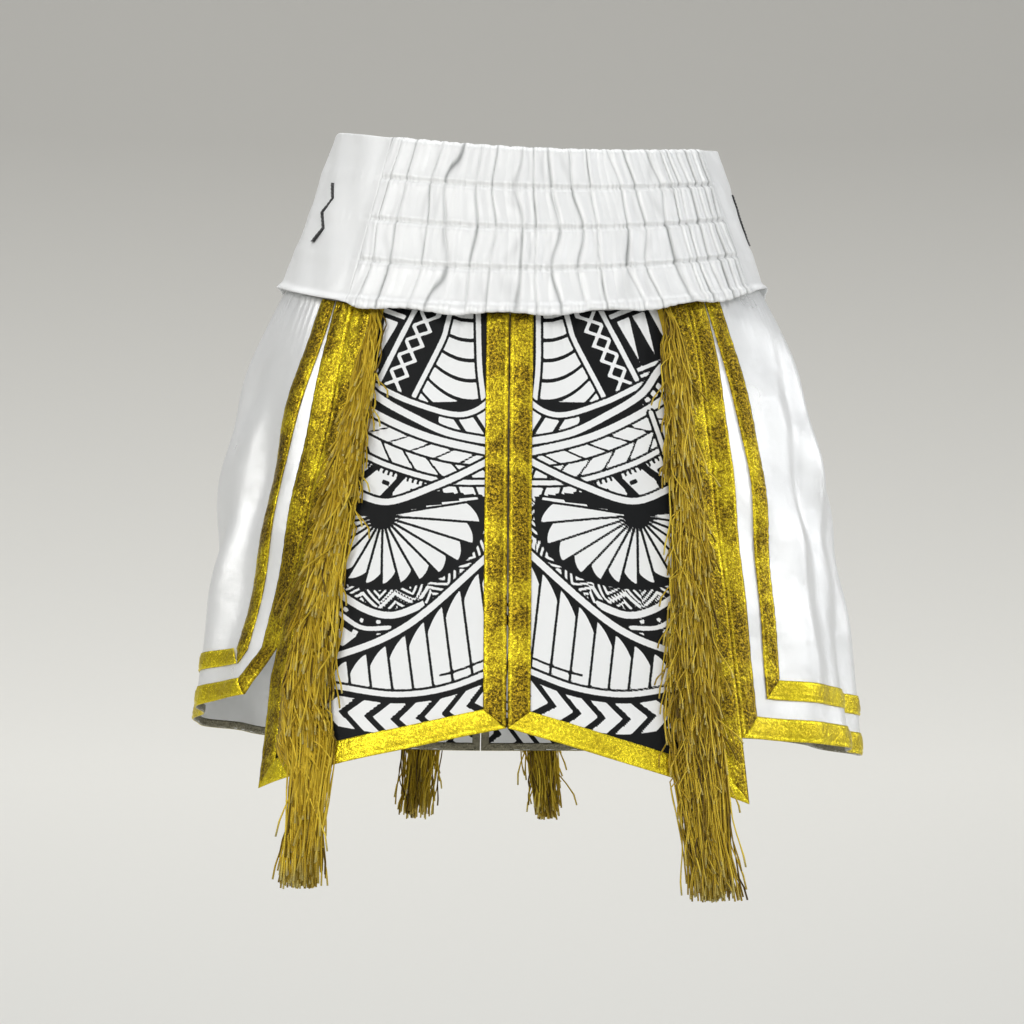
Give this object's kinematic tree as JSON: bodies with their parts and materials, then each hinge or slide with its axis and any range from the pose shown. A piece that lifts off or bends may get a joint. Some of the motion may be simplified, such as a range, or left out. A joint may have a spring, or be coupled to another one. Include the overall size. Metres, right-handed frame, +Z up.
{
  "type": "boxing shorts",
  "caption": "Split-panel boxing trunks with a wide elastic waistband, gold-bound printed front panels, satin side panels, long gold fringes and inner shorts.",
  "frame": {"origin": "middle of the waist opening, level with the band's top edge at the hips", "axes": "+Z up out of the waist opening, -Y the front of the shorts, +X to the right as seen from the front"},
  "size_m": [0.4764, 0.3319, 0.5627],
  "materials": {
    "white_satin": "satin-weave polyester, soft sheen",
    "printed_satin": "satin with a black and white banded print",
    "gold_foil": "gold foil lame tape, crinkled and bright",
    "gold_thread": "gold lurex fringe thread",
    "lining": "plain woven polyester",
    "elastic": "ribbed woven elastic",
    "black_embroidery": "dense satin-stitch embroidery"
  },
  "bodies": {
    "waistband": {"elastic_1": "elastic", "elastic_2": "elastic", "elastic_3": "elastic", "elastic_4": "elastic", "inner_back_left": "lining", "inner_back_right": "lining", "inner_front_left": "lining", "inner_front_right": "lining", "side_mark_left": "black_embroidery", "side_mark_right": "black_embroidery", "waistband_back": "white_satin", "waistband_front": "white_satin", "waistband_lining": "lining", "waistband_side_left": "white_satin", "waistband_side_right": "white_satin"},
    "front_left": {"front_left_centre_binding": "gold_foil", "front_left_fringe": "gold_thread", "front_left_fringe_tape": "gold_thread", "front_left_hem_binding": "gold_foil", "front_left_outer_binding": "gold_foil", "front_left_panel": "printed_satin"},
    "front_right": {"front_right_centre_binding": "gold_foil", "front_right_fringe": "gold_thread", "front_right_fringe_tape": "gold_thread", "front_right_hem_binding": "gold_foil", "front_right_outer_binding": "gold_foil", "front_right_panel": "printed_satin"},
    "side_left": {"side_left_back_binding": "gold_foil", "side_left_back_stripe": "gold_foil", "side_left_front_binding": "gold_foil", "side_left_front_stripe": "gold_foil", "side_left_hem_binding": "gold_foil", "side_left_hem_stripe": "gold_foil", "side_left_panel": "white_satin"},
    "side_right": {"side_right_back_binding": "gold_foil", "side_right_back_stripe": "gold_foil", "side_right_front_binding": "gold_foil", "side_right_front_stripe": "gold_foil", "side_right_hem_binding": "gold_foil", "side_right_hem_stripe": "gold_foil", "side_right_panel": "white_satin"},
    "back_left": {"back_left_centre_binding": "gold_foil", "back_left_fringe": "gold_thread", "back_left_fringe_tape": "gold_thread", "back_left_hem_binding": "gold_foil", "back_left_outer_binding": "gold_foil", "back_left_panel": "printed_satin"},
    "back_right": {"back_right_centre_binding": "gold_foil", "back_right_fringe": "gold_thread", "back_right_fringe_tape": "gold_thread", "back_right_hem_binding": "gold_foil", "back_right_outer_binding": "gold_foil", "back_right_panel": "printed_satin"},
    "front_left_tail": {"front_left_fringe_tail": "gold_thread"},
    "front_right_tail": {"front_right_fringe_tail": "gold_thread"},
    "back_left_tail": {"back_left_fringe_tail": "gold_thread"},
    "back_right_tail": {"back_right_fringe_tail": "gold_thread"}
  },
  "joints": [
    {"name": "front_left_lift", "type": "hinge", "parent": "waistband", "child": "front_left", "pos_m": [-0.0755, -0.1188, -0.1391], "axis": [-0.9508, 0.3099, 0], "range_deg": [0, 40]},
    {"name": "front_right_lift", "type": "hinge", "parent": "waistband", "child": "front_right", "pos_m": [0.0471, -0.125, -0.1372], "axis": [-0.9806, -0.1959, 0], "range_deg": [0, 40]},
    {"name": "side_left_lift", "type": "hinge", "parent": "waistband", "child": "side_left", "pos_m": [-0.1727, 0.025, -0.1084], "axis": [0.218, 0.976, 0], "range_deg": [0, 18], "stiffness_Nm_per_rad": 0.03, "springref_deg": -17.19},
    {"name": "side_right_lift", "type": "hinge", "parent": "waistband", "child": "side_right", "pos_m": [0.168, 0.0342, -0.1087], "axis": [0.2721, -0.9623, 0], "range_deg": [0, 18], "stiffness_Nm_per_rad": 0.03, "springref_deg": -17.19},
    {"name": "back_left_lift", "type": "hinge", "parent": "waistband", "child": "back_left", "pos_m": [-0.0489, 0.1184, -0.1244], "axis": [0.9804, 0.1971, 0], "range_deg": [0, 30]},
    {"name": "back_right_lift", "type": "hinge", "parent": "waistband", "child": "back_right", "pos_m": [0.0149, 0.1237, -0.1279], "axis": [0.9986, -0.053, 0], "range_deg": [0, 30]},
    {"name": "front_left_fringe_swing", "type": "hinge", "parent": "front_left", "child": "front_left_tail", "pos_m": [-0.1434, -0.1374, -0.4692], "axis": [-0.9076, 0.4198, 0], "range_deg": [-10, 20]},
    {"name": "front_right_fringe_swing", "type": "hinge", "parent": "front_right", "child": "front_right_tail", "pos_m": [0.1037, -0.1551, -0.4814], "axis": [-0.9631, -0.269, 0], "range_deg": [-10, 20]},
    {"name": "back_left_fringe_swing", "type": "hinge", "parent": "back_left", "child": "back_left_tail", "pos_m": [-0.0796, 0.1563, -0.4358], "axis": [0.973, 0.231, 0], "range_deg": [-10, 20]},
    {"name": "back_right_fringe_swing", "type": "hinge", "parent": "back_right", "child": "back_right_tail", "pos_m": [0.0358, 0.1637, -0.4359], "axis": [0.9948, -0.102, 0], "range_deg": [-10, 20]}
  ]
}
